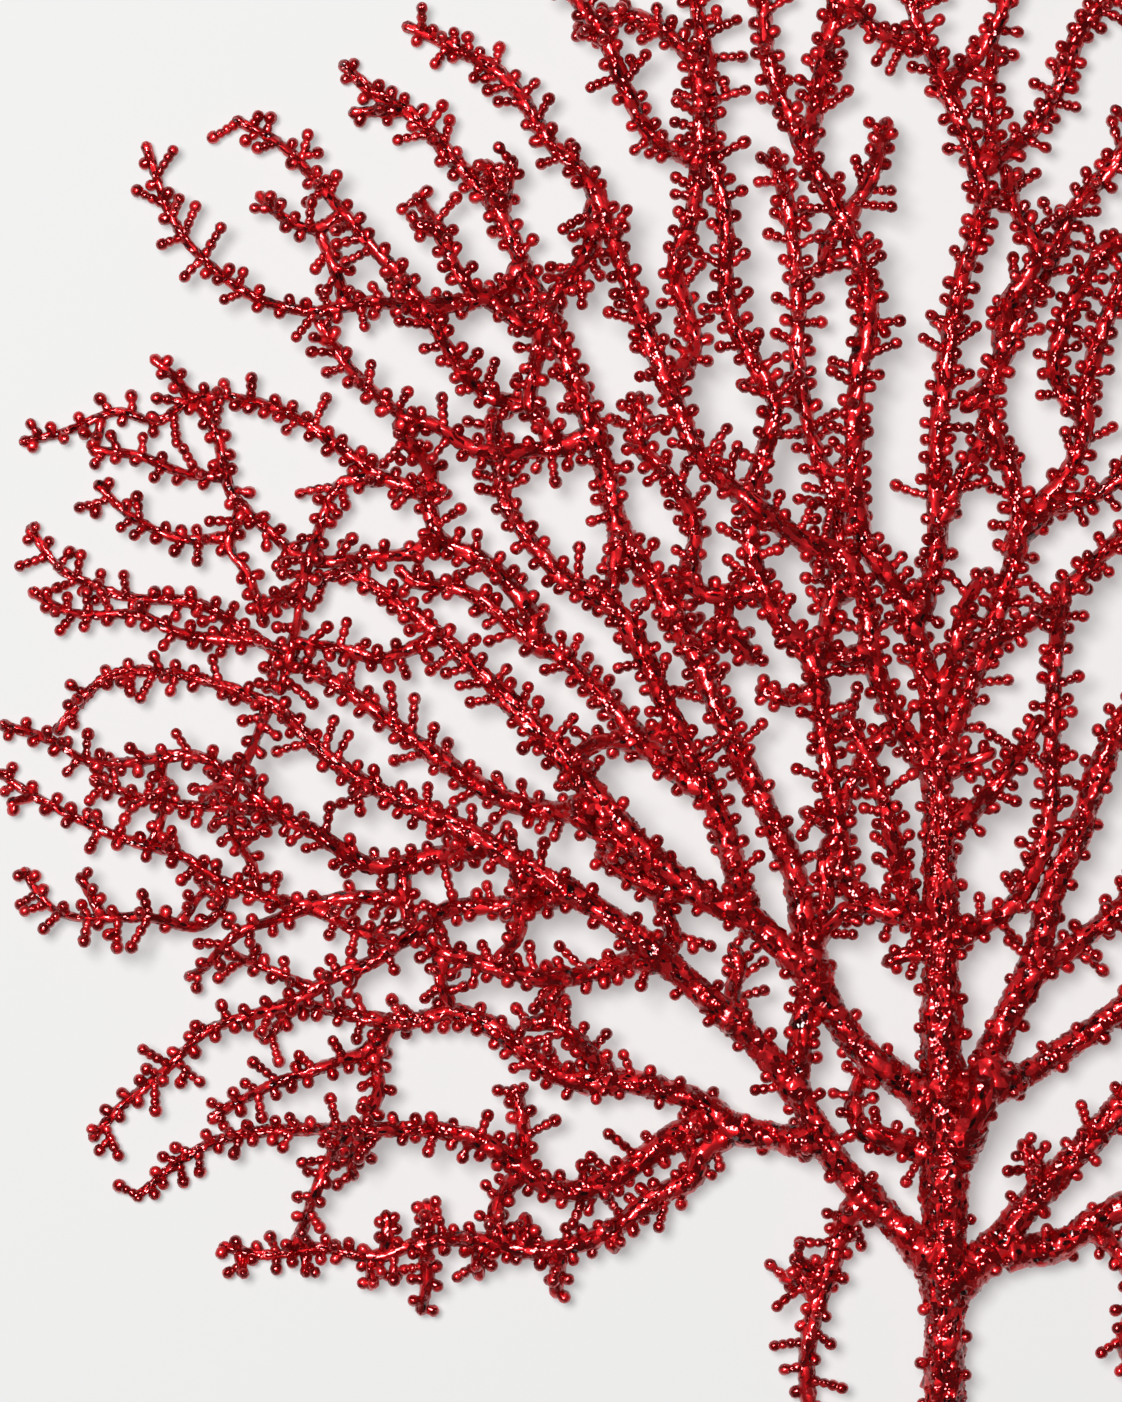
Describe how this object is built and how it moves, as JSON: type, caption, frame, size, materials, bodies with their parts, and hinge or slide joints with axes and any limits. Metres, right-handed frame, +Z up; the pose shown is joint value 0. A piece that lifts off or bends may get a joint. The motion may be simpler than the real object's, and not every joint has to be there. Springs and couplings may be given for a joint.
{
  "type": "red coral branch",
  "caption": "Flat fan of red coral cut off at its stem, lying on its back: limbs fork into slender crossing branches set with short beaded twigs.",
  "frame": {"origin": "centre of the bounding box in X and Y, on the surface that the coral lies on", "axes": "+Y from the cut foot of the stem towards the crown, +X towards the fan's right side as seen from above, +Z up off the surface"},
  "size_m": [0.3747, 0.3453, 0.0195],
  "materials": {
    "coral": "deep red glossy lacquer over crinkled coral"
  },
  "bodies": {
    "root": {"stem": "coral", "low_left_limb": "coral", "low_left_branch": "coral", "low_left_tail": "coral", "bottom_left_branch": "coral", "bottom_left_spray": "coral", "hanging_branch": "coral", "small_left_branch": "coral", "left_edge_branch": "coral", "left_bow": "coral", "left_diagonal": "coral", "left_middle_branch": "coral", "left_cross": "coral", "middle_left_limb": "coral", "far_left_branch": "coral", "inner_left_limb": "coral", "inner_left_branch": "coral", "arch_branch": "coral", "arch_drop": "coral", "left_upright": "coral", "upper_left_limb": "coral", "upper_left_side": "coral", "upper_left_branch": "coral", "upper_left_arm": "coral", "inner_upright": "coral", "inner_strand": "coral", "thin_strand": "coral", "crown_left": "coral", "crown_left_link": "coral", "top_left_strand": "coral", "crown_middle": "coral", "crown_middle_fork": "coral", "crown_inner": "coral", "crown_inner_fork": "coral", "crown_right": "coral", "crown_right_fork": "coral", "crown_right_side": "coral", "crown_right_low": "coral", "low_right_limb": "coral", "low_right_side": "coral", "low_right_fork": "coral", "bottom_right_branch": "coral", "bottom_right_spray": "coral", "bottom_right_rise": "coral", "low_right_hanging": "coral", "middle_right_limb": "coral", "middle_right_upright": "coral", "middle_right_branch": "coral", "middle_right_side": "coral", "upper_right_branch": "coral", "upper_right_side": "coral", "right_inner": "coral", "right_twig": "coral"}
  },
  "joints": []
}
